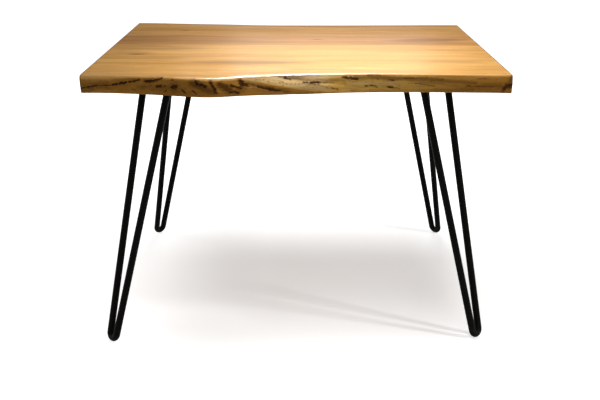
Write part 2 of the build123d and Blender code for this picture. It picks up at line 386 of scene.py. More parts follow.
def skin_over(material):
    """Lays the live skin over a board's wood, where the mesh's attributes say."""
    tree = material.node_tree
    shader = tree.nodes["Principled BSDF"]
    wood, plain, under = (
        shader.inputs[socket].links[0].from_socket
        for socket in ("Base Color", "Roughness", "Normal")
    )
    masks = {
        label: add_node(tree, "ShaderNodeAttribute", out="Fac", attribute_name=label.lower())
        for label in ("Skin", "Pale", "Tracks", "Shade", "Crown")
    }
    crown = masks.pop("Crown")
    place = add_node(tree, "ShaderNodeTexCoord", out="Object")
    layer = use_group(tree, LIVE_SKIN, {"Place": place, "Wood": wood, **masks})
    rough = add_node(tree, "ShaderNodeMix", {0: masks["Skin"], 2: plain, 3: layer["Roughness"]})
    height = times(tree, layer["Height"], masks["Skin"])
    feed(tree, shader, {
        "Base Color": layer["Color"], "Roughness": rough,
        # Varnish builds up on the rounded crown of the edge.
        "Coat Weight": ramp(tree, crown, 0.0, 1.0, 0.035, 1.0),
        "Coat Roughness": 0.22, "Coat IOR": 1.6,
        "Normal": relief(tree, height, strength=0.35, depth=0.0006, Normal=under),
    })


skin_over(front_wood)


def ease(low, high, values):
    """Smooth step from 0 at low to 1 at high; low may be the larger."""
    share = np.clip((values - low) / (high - low), 0.0, 1.0)
    return share * share * (3.0 - 2.0 * share)


def wood_noise(x, height, stretch_x, stretch_height, seed):
    """Noise over the unrolled edge; x and height in metres."""
    points = np.stack([x * stretch_x, height * stretch_height, np.full_like(x, seed)], -1)
    flat = [noise.noise(Vector(p)) for p in points.reshape(-1, 3)]
    return np.array(flat).reshape(x.shape)


def rounding(inset, radius):
    """How far a corner of that radius falls away, by the distance in from its side."""
    share = np.clip(1.0 - inset / radius, 0.0, 1.0)
    return radius * (1.0 - np.sqrt(1.0 - share * share))


def smooth_along(values):
    """Takes the frame's facets out along the board."""
    weights = np.array([1, 4, 6, 4, 1]) / 16
    reach = len(weights) // 2
    padding = [(reach, reach)] + [(0, 0)] * (values.ndim - 1)
    padded = np.pad(values, padding, mode="edge")
    return sum(w * padded[k:k + len(values)] for k, w in enumerate(weights))


def place_in_scene(name, data):
    placed = bpy.data.objects.new(name, data)
    bpy.context.scene.collection.objects.link(placed)
    return placed


def live_board_mesh(node, side, carve, top_rim_dark=0.0):
    """Closed skin of a board with one live edge, fine enough to carve.

    side is -1 for the front and 1 for the back. carve gives, for x and height over the
    edge, how deep it is cut in and the masks for the material. The last argument is how
    dark the top is made along the edge.
    """
    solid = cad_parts[node]
    corners = [v.co[:] for v in solid.data.vertices]
    search = BVHTree.FromPolygons(corners, [f.vertices[:] for f in solid.data.polygons])
    low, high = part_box(node)
    end_x = high.x
    seam_y = high.y if side < 0 else low.y
    thickness = high.z - low.z

    # Sections stand along the board, closer together at its ends.
    near_end = np.array([0.0, 0.1, 0.3, 0.6, 1.0, 1.5, 2.1, 2.8]) / 1000
    even_from, even_sections = 0.0036, 1150
    middle = np.linspace(-end_x + even_from, end_x - even_from, even_sections)
    columns = np.concatenate([-end_x + near_end, middle, end_x - near_end[::-1]])
    inside_end = 0.0015
    cast_x = np.clip(columns, -end_x + inside_end, end_x - inside_end)

    # Rows go up the live edge, closer together at its foot, and then round its crown.
    foot = np.array([0.0, 0.15, 0.4, 0.75, 1.2, 1.7, 2.2]) / 1000
    face_from, face_rows = 0.0027, 37
    crown_drop, crown_inset = 0.0052, 0.0056
    heights = np.concatenate([foot, np.linspace(face_from, thickness - crown_drop, face_rows)])
    crown_turns = np.radians(np.linspace(9, 90, 10))

    def strike(x, y, z, direction):
        """Where a line meets the board's solid."""
        return search.ray_cast(Vector((x, y, z)), Vector(direction))[0]

    well_clear, over_foot = 0.6, 0.0002
    levels = [low.z + min(max(h, over_foot), thickness) for h in heights]
    face = smooth_along(np.array([
        [strike(x, side * well_clear, z, (0, -side, 0)).y for z in levels] for x in cast_x
    ]))
    crown_yz = []
    for x, face_top in zip(cast_x, face[:, -1]):
        centre = (x, face_top - side * crown_inset, high.z - crown_drop)
        hits = [
            strike(*centre, (0, side * math.cos(turn), math.sin(turn))) for turn in crown_turns
        ]
        crown_yz.append([(hit.y, hit.z) for hit in hits])
    face_yz = np.stack([face, np.broadcast_to(low.z + heights, face.shape)], -1)
    edge_yz = np.concatenate([face_yz, smooth_along(np.array(crown_yz))], 1)
    edge_rows = edge_yz.shape[1]

    grid_x = np.broadcast_to(columns[:, None], edge_yz.shape[:2])
    grid_h = edge_yz[..., 1] - low.z
    depth, masks = carve(grid_x, grid_h)
    # The bottom corner is worn round by sanding, and the ends are eased.
    corner = 0.0012 + 0.0006 * wood_noise(grid_x, grid_h * 0, 30.0, 0.0, 3.0 + side)
    depth = depth + rounding(grid_h, corner) * 0.8
    end_easing, end_arris = 0.0021, 0.001
    depth = depth + rounding(end_x - np.abs(grid_x), end_easing)
    # Nothing is cut away where the crown meets the flat top.
    depth[:, -1] = 0.0
    along = np.gradient(edge_yz, axis=1)
    outward = np.stack([along[..., 1], -along[..., 0]], -1) * side
    outward /= np.linalg.norm(outward, axis=-1, keepdims=True)
    edge_yz = edge_yz - outward * depth[..., None]
    edge_yz[..., 1] = np.clip(edge_yz[..., 1], low.z, high.z)

    # The top and the underside go in to the seam, with an arris off at the ends.
    drop = rounding(end_x - np.abs(columns), end_arris)[:, None]
    shares = np.array([0.03, 0.08, 0.15, 0.26, 0.45, 0.7, 1.0])

    def flat_rows(edge_y, level):
        y = edge_y[:, None] + (seam_y - edge_y[:, None]) * shares
        return np.stack([y, np.broadcast_to(level, y.shape)], -1)

    top_yz = flat_rows(edge_yz[:, -1, 0], high.z - drop)
    under_yz = flat_rows(edge_yz[:, 0, 0], low.z + drop)
    edge_yz[:, -1, 1] = high.z - drop[:, 0]
    edge_yz[:, 0, 1] = np.maximum(edge_yz[:, 0, 1], low.z + drop[:, 0])
    up = np.linspace(1.0, 0.0, 6)[1:-1]
    seam_h = (high.z - drop) * up + (low.z + drop) * (1 - up)
    seam_yz = np.stack([np.full(seam_h.shape, seam_y), seam_h], -1)

    loop = np.concatenate([edge_yz, top_yz, seam_yz, under_yz[:, ::-1]], 1)
    rows = loop.shape[1]
    stations = np.broadcast_to(columns[:, None, None], (len(columns), rows, 1))
    points = np.concatenate([stations, loop], -1).reshape(-1, 3)
    numbers = np.arange(len(columns) * rows).reshape(len(columns), rows)
    here, there = numbers[:-1], numbers[1:]
    quads = np.stack([here, np.roll(here, -1, 1), np.roll(there, -1, 1), there], -1)
    quads = quads.reshape(-1, 4)
    caps = [numbers[0][::-1], numbers[-1]]
    if side < 0:
        quads, caps = quads[:, ::-1], [cap[::-1] for cap in caps]
    mesh = bpy.data.meshes.new(node + "_wood")
    mesh.from_pydata(points.tolist(), [], quads.tolist() + [cap.tolist() for cap in caps])

    in_from_edge = np.abs(top_yz[..., 0] - edge_yz[:, -1, :1])
    over_top = {
        "shade": top_rim_dark * ease(0.011, 0.002, in_from_edge),
        "crown": 0.2 * ease(0.022, 0.0, in_from_edge) * masks["crown"][:, -1:],
    }
    for name, values in masks.items():
        whole = np.zeros((len(columns), rows), np.float32)
        whole[:, :edge_rows] = values
        if name in over_top:
            whole[:, edge_rows:edge_rows + len(shares)] = over_top[name]
        # The sawn ends are plain wood.
        whole[[0, -1]] = 0.0
        mesh.attributes.new(name, "FLOAT", "POINT").data.foreach_set("value", whole.ravel())
    mesh.validate()
    mesh.shade_smooth()
    for polygon in mesh.polygons:
        if len(polygon.vertices) > 4:
            polygon.use_smooth = False
    mesh.set_sharp_from_angle(angle=math.radians(38))
    return place_in_scene(node + "_wood", mesh)


# Each track: its line as (x, height over the underside), half-width, depth, all in mm.
FRONT_TRACKS = [
    ([(-317, 7.6), (-304, 9.8), (-293, 12)], 1.0, 1.3),
    ([(-293, 12), (-280, 12.7), (-269, 13.4)], 0.7, 0.9),
    ([(-269, 13.6), (-262, 15.4)], 1.3, 1.4),
    ([(-258, 16.1), (-250, 17.7)], 1.7, 1.8),
    ([(-245, 18.8), (-236, 20.2), (-229, 22.6)], 1.0, 1.2),
    ([(-220, 20.1), (-210, 21.9)], 1.9, 1.2),
    ([(-208, 22.2), (-201, 24.4), (-196, 25.8)], 1.2, 1.0),
    ([(-214, 20.4), (-203, 21.6)], 0.9, 0.6),
    ([(-181, 24), (-179, 24.6)], 1.0, 0.45),
    ([(-203, 13.4), (-197, 14.2)], 1.9, 0.85),
    ([(-194, 13.6), (-191, 14.6)], 1.2, 0.6),
    ([(-180, 13.0), (-175.5, 15.2)], 3.1, 2.0),
    ([(-225, 12.9), (-221, 13)], 0.9, 0.35),
    ([(-214, 14.9), (-211, 15.1)], 0.9, 0.35),
    ([(-227, 8.7), (-222, 9)], 1.1, 0.3),
    ([(-240, 7.1), (-236, 7.2)], 0.9, 0.3),
    ([(-212, 8.1), (-208, 7.8)], 1.0, 0.3),
    ([(-192, 6.6), (-189, 8.6)], 0.9, 0.6),
    ([(-166.6, 10.8), (-161.5, 6.7)], 0.9, 1.1),
    ([(-150.3, 10.0), (-145.3, 5.8)], 0.8, 1.0),
    ([(-147, 23.1), (-140, 19.9), (-132, 16.4)], 2.6, 1.4),
    ([(-124.5, 23.4), (-120.4, 16.6), (-118, 10)], 1.6, 1.0),
    ([(-118, 8.6), (-116.6, 6.6)], 1.6, 1.4),
    ([(-96, 17.0), (-91, 14.8), (-85, 13.0), (-80, 12.0)], 1.3, 1.2),
    ([(-83, 23.5), (-80, 20.8), (-76, 17.3), (-72.5, 15.8)], 2.2, 1.6),
    ([(-82, 18.5), (-78, 16)], 2.2, 1.5),
    ([(-98, 6.4), (-92, 7.2), (-85.5, 5.4)], 1.9, 1.1),
    ([(-71.5, 14.4), (-69.5, 14.3)], 0.8, 0.8),
    ([(-64.8, 13.5), (-62.6, 13.4)], 0.8, 0.8),
    ([(-57, 13.5), (-47, 10.8), (-38, 8.8)], 1.5, 1.2),
    ([(-42, 9.6), (-34, 7.8), (-25.4, 6.5)], 1.8, 1.3),
    ([(-27, 26.0), (-20, 25.6)], 0.4, 0.4),
    ([(-20, 25.6), (-10, 24.0)], 0.8, 0.8),
    ([(9, 19.0), (20, 18.4)], 1.4, 1.0),
    ([(19, 18.3), (31, 17.6)], 2.2, 1.5),
    ([(31, 17.4), (42, 16.8), (54, 16.0)], 0.5, 0.7),
    ([(42, 8.9), (45, 8.8)], 0.4, 0.35),
    ([(50.8, 8.0), (59.6, 6.0)], 0.7, 0.6),
    ([(67, 23.7), (72, 22.9)], 1.0, 1.0),
    ([(71, 23.0), (77.6, 22.1), (88.6, 20.6)], 1.8, 1.5),
    ([(118.4, 21.8), (119.4, 19.4)], 0.5, 0.7),
    ([(100.7, 10.1), (110.3, 11.1), (118.1, 8.6)], 0.9, 0.7),
    ([(135.2, 19.2), (142.6, 18.7)], 0.8, 0.9),
    ([(133.3, 8.5), (140.9, 7.3)], 1.2, 1.3),
    ([(140.9, 7.3), (151.9, 6.1)], 0.5, 0.7),
    ([(157.7, 21.9), (172.7, 22.0)], 0.5, 0.6),
    ([(176, 22.1), (192, 22.7)], 0.4, 0.5),
    ([(173, 14.2), (188.2, 12.1), (203.2, 10.0)], 0.5, 0.7),
    ([(251.5, 10.7), (254.2, 10.8)], 0.8, 0.8),
    ([(262.6, 10.2), (275, 9.6), (288.3, 9.9)], 0.5, 0.6),
    ([(266, 22.2), (274.7, 22.7), (279, 22.4)], 0.5, 0.5),
    ([(317, 14), (308, 12.5)], 1.5, 0.6),
    ([(309, 12), (304, 5)], 1.5, 0.6),
    ([(313, 9.5), (307, 8)], 2.4, 0.4),
]
# Weathered brown places, and painted shade in the hollow over the roll, in the groove under it,
# under the crown on the right and low on the face: each one's line, half-width in mm, and
# strength.
FRONT_SHADES = [
    ([(-317, 5), (-300, 7)], 5.0, 0.5),
    ([(-317, 14), (-280, 14)], 9.0, 0.4),
    ([(-230, 12), (-185, 12)], 5.0, 0.25),
    ([(-150, 21), (-136, 16), (-124, 10)], 7.5, 0.75),
    ([(-124, 24), (-118, 8)], 4.5, 0.85),
    ([(-112, 20), (-104, 15), (-99, 11)], 7.0, 0.95),
    ([(-92, 7), (-76, 13)], 6.0, 0.45),
    # The groove under the roll: brown marks with painted shade.
    ([(-74, 19), (-56, 15), (-34, 9.4)], 3.6, 0.85),
    ([(-34, 9.4), (-14, 3.8)], 3.4, 0.5),
    ([(-64, 12), (-44, 7), (-30, 3)], 4.0, 0.25),
    # The hollow over the roll: painted shade with some brown.
    ([(-12, 25.2), (3, 23.6), (16, 21.8)], 3.6, 0.75),
    ([(14, 21.6), (30, 19.6), (44, 18.8)], 3.4, 0.5),
    ([(40, 19.5), (70, 21.0), (100, 22.0)], 2.6, 0.4),
    # Under the crown on the right: brown with painted shade.
    ([(84, 23.4), (116, 22.6)], 2.8, 0.6),
    ([(106, 24.6), (132, 22.0), (160, 21.2), (190, 20.8), (215, 19.5)], 4.4, 0.68),
    ([(205, 19), (232, 17.8), (262, 15.5)], 4.2, 0.5),
    # A brown streak across the face.
    ([(180, 15.5), (215, 15.0)], 3.2, 0.4),
    # Low on the face under the pale mid-height band: painted shade.
    ([(80, 3), (160, 3), (260, 4)], 3.0, 0.35),
    # Weathered brown near the right end, and the char at its corner.
    ([(250, 10), (300, 12)], 3.5, 0.35),
    ([(317, 12), (309, 11), (305, 6)], 5.0, 1.0),
    ([(316, 24), (313, 17)], 3.0, 0.6),
]


def line_distance(x, height, line):
    """Distance in mm from each point of the edge to a broken line."""
    nearest = np.full(x.shape, 1e9)
    for (x0, h0), (x1, h1) in zip(line, line[1:]):
        run_x, run_h = x1 - x0, h1 - h0
        share = ((x - x0) * run_x + (height - h0) * run_h) / (run_x**2 + run_h**2)
        share = np.clip(share, 0.0, 1.0)
        off = np.hypot(x - x0 - share * run_x, height - h0 - share * run_h)
        nearest = np.minimum(nearest, off)
    return nearest


def edge_carving(tracks, shades, seed, pale_where, gloss_where, hole_zones=(),
                 roll=lambda x, height: 0.0, skin_foot=lambda x: 24.2,
                 undercut=lambda x: 0.0):
    """The cut-in of a live edge: flowing grain, the listed tracks, fine beetle holes.

    Lines, heights over the underside and depths are in mm. The slab is 27.4 thick, and its
    crown begins at about 24. roll adds broad hollows. gloss_where, skin_foot and undercut
    give, along x, how glossy the crown is, how low the sanding reached and how far the face
    stands back of it.
    """

    def carve(x, height):
        x_mm, h_mm = x * 1000, height * 1000
        on_face = ease(27.4, 24.6, h_mm)
        flow = wood_noise(x, height, 11.0, 60.0, seed)
        grain = wood_noise(x, height, 55.0, 420.0, seed + 5)
        rag = wood_noise(x, height, 260.0, 520.0, seed + 9)
        wave_depth, grain_depth = 0.55, 0.16
        depth = wave_depth * ease(-0.8, 0.8, flow) + grain_depth * ease(-0.6, 0.6, grain)
        depth = depth * on_face
        depth = depth + undercut(x_mm) * ease(27.2, 25.4, h_mm) * ease(0.0, 7.0, h_mm)
        dark = np.zeros(x.shape)
        brown = np.zeros(x.shape)
        # The deeper a track is cut, the darker it is, with a brown halo round it.
        for line, half_width, cut in tracks:
            away = line_distance(x_mm, h_mm, line) / half_width + rag * 1.3
            depth = np.maximum(depth, cut * ease(1.25, 0.35, away))
            dark = np.maximum(dark, min(cut / 0.9, 1.0) * ease(1.4, 0.45, away))
            halo = min(cut, 1.0) * 0.5 * ease(3.0, 0.8, away + grain * 0.8)
            brown = np.maximum(brown, halo)
        # Shade lines lay brown: weathering, and on the front some of them are painted shade.
        for line, half_width, strength in shades:
            away = line_distance(x_mm, h_mm, line) / half_width
            away = away + rag * 0.3 + flow * 0.5 + grain * 0.35
            brown = np.maximum(brown, strength * ease(1.25, 0.15, away))
        # Beetle holes are a little longer with the grain than across it.
        random = np.random.default_rng(int(seed * 10) + 3)
        hole_length, hole_depth, hole_dark = 1.5, 0.7, 0.75
        for x_from, x_to, low, high, count in hole_zones:
            for _ in range(count):
                hole_x, hole_h = random.uniform(x_from, x_to), random.uniform(low, high)
                size = random.uniform(0.3, 0.65)
                away = np.hypot((x_mm - hole_x) / hole_length, h_mm - hole_h) / size
                away = away + rag * 0.4
                depth = np.maximum(depth, hole_depth * ease(1.2, 0.4, away))
                dark = np.maximum(dark, hole_dark * ease(1.25, 0.7, away))
        depth = depth + roll(x_mm, h_mm) * on_face
        foot = skin_foot(x_mm)
        shine = gloss_where(x_mm) * (1.0 - dark)
        weathering_and_shade = np.clip(1.0 - 1.5 * brown * ease(26.6, 25.0, h_mm), 0.0, 1.0)
        return depth / 1000, {
            "skin": ease(np.clip(foot + 2.4, 26.6, 27.3), foot, h_mm + flow * 1.2),
            "pale": pale_where(x_mm, h_mm, flow),
            "tracks": dark,
            "shade": brown,
            "crown": ease(23.8, 25.8, h_mm) * shine * weathering_and_shade,
        }

    return carve


# The slanting roll at the middle: the height of its crest along x.
ROLL_X = (-95.0, -60.0, -42.0, -20.0, 2.0, 24.0, 68.0, 120.0)
ROLL_HEIGHT = (28.0, 24.0, 20.5, 15.0, 8.5, 5.5, 2.0, -3.0)


def front_pale(x, height, flow):
    """Bare on the slanting roll and over it, golden to the right, fading to the end. The bare and
    golden patches are partly painted highlight, set where the face is lit, and the pale band at
    mid-height on the right is all painted highlight, for a lit ridge that the mesh doesn't have.
    """
    over_crest = ease(-4.0, 0.5, height - np.interp(x, ROLL_X, ROLL_HEIGHT) + flow * 3.0)
    bare = ease(-98.0, -78.0, x) * ease(100.0, 20.0, x)
    golden = ease(-98.0, -78.0, x) * ease(300.0, 110.0, x) * 0.5
    # A pale band at mid-height on the right: painted highlight for a lit ridge.
    lit_ridge_highlight = ease(5.0, 1.0, np.abs(height - 14.0)) * 0.3
    lit_ridge_highlight = lit_ridge_highlight * ease(50.0, 85.0, x) * ease(200.0, 130.0, x)
    return over_crest * np.maximum(bare, golden) + lit_ridge_highlight


def front_roll(x, height):
    """The hollow over the roll and the groove under it, in mm."""
    hollow = line_distance(x, height, [(-20, 26), (2, 24), (24, 21), (46, 17), (68, 14)])
    groove = line_distance(x, height, [(-72, 19), (-58, 16), (-42, 11), (-20, 5), (-6, 0)])
    return 1.2 * ease(6.0, 1.0, hollow) + 1.0 * ease(6.5, 1.0, groove)


def front_gloss(x):
    """The varnish lies thickest on the crown's middle stretch."""
    return np.interp(
        x, (-220, -150, -115, -85, 15, 60, 110, 220, 317),
        (0.35, 0.2, 0.5, 1.0, 1.0, 0.55, 0.28, 0.15, 0.1),
    )


def front_foot(x):
    """Sanded lower at the left end, and a little higher right of the middle. At the left end the
    lighter top wood running down the face is partly painted highlight, for the softer shading of a
    wider round.
    """
    right = ease(-60.0, -15.0, x) * ease(300.0, 200.0, x)
    return 24.2 - 11.0 * ease(-235.0, -300.0, x) + 1.9 * right


front_board = live_board_mesh("front_board", -1, edge_carving(
    FRONT_TRACKS, FRONT_SHADES, seed=2.0, pale_where=front_pale, gloss_where=front_gloss,
    # Beetle holes: x from and to, height from and to in mm, and how many.
    hole_zones=[
        (-62, -42, 21.5, 25, 10), (-45, -20, 17.5, 23, 16), (-22, 3, 14.5, 19, 14),
        (-320, -180, 5, 22, 16), (90, 300, 5, 22, 26),
    ],
    roll=front_roll, skin_foot=front_foot, undercut=lambda x: 1.1 * ease(-150.0, -60.0, x),
))
front_board.data.materials.append(front_wood)
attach(front_board, "root")
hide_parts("front_board")

# ---- The back board ----
# The outer board from the other side of the log. Its live edge faces away, a little
# straighter, with the same skin.

back_wood = hickory(
    "back_hickory",
    light=(0.713, 0.391, 0.127), dark=(0.586, 0.293, 0.083), ring_line=(0.46, 0.207, 0.055),
    pore=(0.196, 0.075, 0.016), heartwood=(0.38, 0.178, 0.052),
    seed=11.0, heart=(0.0, 0.22, 0.31), ring_gap=0.005, wander=0.045,
    knot=(-0.213, 0.195, 0.4338), knot_size=0.007,
    stains=[((0.0, 0.262), 0.16, 0.012, 0.0, 0.5)],
    seams=[BACK_SEAM],
)
skin_over(back_wood)
back_board = live_board_mesh("back_board", 1, edge_carving(
    [
        ([(-290, 14), (-262, 16), (-240, 19)], 0.9, 1.2),
        ([(-236, 19.5), (-226, 20.5)], 1.9, 1.6),
        ([(-200, 8), (-190, 9.5)], 1.6, 1.3),
        ([(-160, 18), (-141, 13), (-129, 11)], 1.2, 1.1),
        ([(-96, 20), (-80, 17)], 1.6, 1.2),
        ([(-52, 9), (-47, 12), (-43, 17)], 1.3, 1.2),
        ([(4, 15), (18, 14), (40, 12.4)], 1.0, 1.0),
        ([(66, 19), (80, 20.5)], 1.7, 1.4),
        ([(112, 8), (125, 7.2)], 1.3, 1.1),
        ([(152, 17), (176, 15), (198, 15.6)], 0.9, 0.9),
        ([(221, 11), (229, 13)], 2.0, 1.7),
        ([(256, 19), (281, 17.5), (304, 18)], 0.9, 1.1),
    ],
    [
        ([(-250, 17), (-215, 12)], 7.0, 0.6),
        ([(-60, 10), (-35, 16)], 8.0, 0.7),
        ([(140, 16), (205, 13)], 6.0, 0.5),
        ([(290, 8), (317, 12)], 6.0, 0.6),
    ],
    seed=6.0, pale_where=lambda x, height, flow: 0.6 * ease(-0.2, 0.7, flow),
    gloss_where=lambda x: 0.12,
    hole_zones=[(-310, -120, 5, 22, 24), (-20, 60, 16, 23, 20), (120, 310, 6, 22, 24)],
), top_rim_dark=0.85)
back_board.data.materials.append(back_wood)
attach(back_board, "root")
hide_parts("back_board")

# ---- The hairpin rods ----
# One 7/16 in steel bar to each leg, bent round a pin into a hairpin, its two ends cut
# level to sit flat under the plate. Powder-coated black; the feet are scuffed.


def powder_coat():
    """Sprayed and baked black: orange-peel skin, dust nibs, and scuffs near the floor."""
    group, given, result = effect_group(
        "powder_coat",
        {"Place": (0, 0, 0), "Peel": 700.0, "Scuff Reach": 0.02},
        ["Color", "Roughness", "Height"],
    )
    black, worn_black = (0.0024, 0.0024, 0.002), (0.004, 0.0039, 0.0034)
    dust, bare_steel = (0.009, 0.009, 0.008), (0.045, 0.043, 0.04)
    place = given["Place"]
    spread = scaled(group, place, given["Peel"])
    peel = cloud(group, spread, (1.0, 1.0, 1.0), detail=1.5)
    nibs = ramp(group, cloud(group, spread, (2.6, 2.6, 2.6), detail=0.0), 0.74, 0.8)
    film = cloud(group, place, (28.0, 28.0, 9.0), detail=3.0)
    level = add_node(group, "ShaderNodeSeparateXYZ", {0: place}, out="Z")
    low = ramp(group, calc(group, "DIVIDE", level, given["Scuff Reach"]), 0.1, 1.0, 1.0, 0.0)
    scratches = cloud(group, place, (420.0, 420.0, 110.0), detail=3.0, roughness=0.7)
    scuffs = times(group, ramp(group, scratches, 0.5, 0.64), low)
    colour = blend_colours(group, ramp(group, film, 0.3, 0.7), black, worn_black)
    colour = blend_colours(group, nibs, colour, dust)
    colour = blend_colours(group, times(group, scuffs, 0.7), colour, bare_steel)
    rough = ramp(group, film, 0.3, 0.7, 0.4, 0.5)
    height = calc(group, "ADD", peel, times(group, nibs, 0.8))
    give_out(group, result, {
        "Color": colour,
        "Roughness": calc(group, "ADD", rough, times(group, scuffs, 0.25)),
        "Height": calc(group, "SUBTRACT", height, scuffs),
    })
    return group


POWDER_COAT = powder_coat()


def powder_coated(name, peel, scuff_reach):
    """Black powder coat over steel; peel is how many bumps there are in a metre."""
    material, tree, shader, place = new_finish(name)
    coat = use_group(tree, POWDER_COAT, {"Place": place, "Peel": peel, "Scuff Reach": scuff_reach})
    feed(tree, shader, {
        "Base Color": coat["Color"], "Roughness": coat["Roughness"],
        "Specular IOR Level": 0.03,
        "Normal": relief(tree, coat["Height"], strength=0.3, depth=0.0003),
    })
    return material


LEGS = ("front_left", "front_right", "back_left", "back_right")
rod_black = powder_coated("rod_powder_coat", peel=700.0, scuff_reach=0.03)
for leg in LEGS:
    finish_node(leg + "_leg_rod", rod_black)

# ---- The leg plates ----
# Laser-cut 4 mm steel squares with four holes, coated together with the rod. The coat
# lies smoother on them than on the bar.

plate_black = powder_coated("plate_powder_coat", peel=520.0, scuff_reach=0.001)
for leg in LEGS:
    finish_node(leg + "_leg_plate", plate_black)

# ---- The weld beads ----
# A fillet of MIG weld runs all the way round each rod end, where it meets the plate. The
# bead follows the slanting rod's cut end, in overlapping ripples under the coat.


def grown_tree(name, sizes):
    """An empty Geometry Nodes tree whose inputs are the named sizes."""
    tree = bpy.data.node_groups.new(name, "GeometryNodeTree")
    tree.interface.new_socket("Geometry", in_out="INPUT", socket_type="NodeSocketGeometry")
    kinds = {float: "NodeSocketFloat", int: "NodeSocketInt"}
    for label, value in sizes.items():
        kind = kinds.get(type(value), "NodeSocketMaterial")
        tree.interface.new_socket(label, in_out="INPUT", socket_type=kind).default_value = value
    tree.interface.new_socket("Geometry", in_out="OUTPUT", socket_type="NodeSocketGeometry")
    inlet = tree.nodes.new("NodeGroupInput")
    outlet = tree.nodes.new("NodeGroupOutput")
    return tree, inlet.outputs, outlet.inputs[0]


def grow(name, make_tree, places, sizes, attributes=None):
    """Runs a tree on points and keeps the result as a plain mesh."""
    seeds = bpy.data.meshes.new(name)
    seeds.from_pydata(places, [], [])
    for label, values in (attributes or {}).items():
        seeds.attributes.new(label, "FLOAT", "POINT").data.foreach_set("value", values)
    piece = place_in_scene(name, seeds)
    modifier = piece.modifiers.new("grow", "NODES")
    modifier.node_group = make_tree(sizes)
    for socket in modifier.node_group.interface.items_tree:
        if socket.in_out == "INPUT" and socket.name in sizes:
            modifier[socket.identifier] = sizes[socket.name]
    depsgraph = bpy.context.evaluated_depsgraph_get()
    made = bpy.data.meshes.new_from_object(piece.evaluated_get(depsgraph), depsgraph=depsgraph)
    made.materials.clear()
    made.materials.append(sizes["Material"])
    piece.modifiers.remove(modifier)
    piece.data = made
    made.name = name
    return piece


def close_tree(tree, shape, given, result):
    """Ends a tree with real faces and their material."""
    shape = add_node(tree, "GeometryNodeRealizeInstances", {0: shape})
    shape = add_node(tree, "GeometryNodeSetMaterial", {
        "Geometry": shape, "Material": given["Material"],
    })
    tree.links.new(shape, result)
    return tree


def ring(tree, count, radius):
    """A circle of count points."""
    feeds = {"Resolution": count, "Radius": radius}
    return add_node(tree, "GeometryNodeCurvePrimitiveCircle", feeds, mode="RADIUS")


def weld_bead(sizes):
    """A rippled bead round each point, along the oval that a slanting rod cuts."""
    tree, given, result = grown_tree("weld_bead", sizes)
    turn = add_node(
        tree, "GeometryNodeInputNamedAttribute", {"Name": "turn"}, out="Attribute",
        data_type="FLOAT",
    )
    turn = add_node(tree, "ShaderNodeCombineXYZ", {2: turn})
    turn = add_node(tree, "FunctionNodeEulerToRotation", {0: turn})
    oval = add_node(tree, "ShaderNodeCombineXYZ", {0: given["Stretch"], 1: 1.0, 2: 1.0})
    roots = add_node(tree, "GeometryNodeInstanceOnPoints", {
        "Points": given["Geometry"], "Instance": ring(tree, 144, given["Rod Radius"]),
        "Rotation": turn, "Scale": oval,
    })
    roots = add_node(tree, "GeometryNodeRealizeInstances", {0: roots})
    along = add_node(tree, "GeometryNodeSplineParameter", out="Factor")
    wave = calc(tree, "SINE", times(tree, times(tree, along, given["Ripples"]), math.pi))
    wave = calc(tree, "SQRT", calc(tree, "ABSOLUTE", wave))
    swell = times(tree, calc(tree, "SUBTRACT", wave, 1.0), given["Ripple Depth"])
    roots = add_node(tree, "GeometryNodeSetCurveRadius", {
        "Curve": roots, "Radius": calc(tree, "ADD", swell, 1.0),
    })
    bead = add_node(tree, "GeometryNodeCurveToMesh", {
        "Curve": roots, "Profile Curve": ring(tree, 16, given["Bead"]),
        "Scale": add_node(tree, "GeometryNodeInputRadius"),
    })
    lumps_to_a_metre, lump_height = 260.0, 0.0009
    lumps = add_node(tree, "ShaderNodeTexNoise", {
        "W": given["Seed"], "Scale": lumps_to_a_metre, "Detail": 1.0,
    }, out="Fac", noise_dimensions="4D")
    lumps = times(tree, calc(tree, "SUBTRACT", lumps, 0.5), lump_height)
    outwards = scaled(tree, add_node(tree, "GeometryNodeInputNormal"), lumps)
    bead = add_node(tree, "GeometryNodeSetPosition", {"Geometry": bead, "Offset": outwards})
    bead = add_node(tree, "GeometryNodeSetShadeSmooth", {0: bead})
    return close_tree(tree, bead, given, result)


def plan_middle(node):
    """The middle of a node's box, seen from above."""
    low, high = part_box(node)
    return (low.x + high.x) / 2, (low.y + high.y) / 2


ROD_RADIUS = 0.00555
LEG_LEAN = math.radians(14.4)
weld_black = powder_coated("weld_powder_coat", peel=380.0, scuff_reach=0.001)
weld_nodes, weld_places, weld_turns = [], [], []
for leg in LEGS:
    pair = [leg + "_outer_weld", leg + "_inner_weld"]
    ends = [Vector((*plan_middle(weld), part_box(weld)[1].z)) for weld in pair]
    across = ends[1] - ends[0]
    weld_nodes += pair
    weld_places += [end[:] for end in ends]
    weld_turns += [math.atan2(across.y, across.x) + math.pi / 2] * 2
welds = grow("leg_welds", weld_bead, weld_places, {
    "Rod Radius": ROD_RADIUS, "Stretch": 1.0 / math.cos(LEG_LEAN), "Bead": 0.0029,
    "Ripples": 24.0, "Ripple Depth": 0.13, "Seed": 4.0, "Material": weld_black,
}, {"turn": weld_turns})
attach(welds, "root")
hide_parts(*weld_nodes)

# ---- The leg screws ----
# Four pan-head wood screws to a plate, black, with a cross recess and a rolled thread,
# driven up into the slab. Each stopped at its own turn.


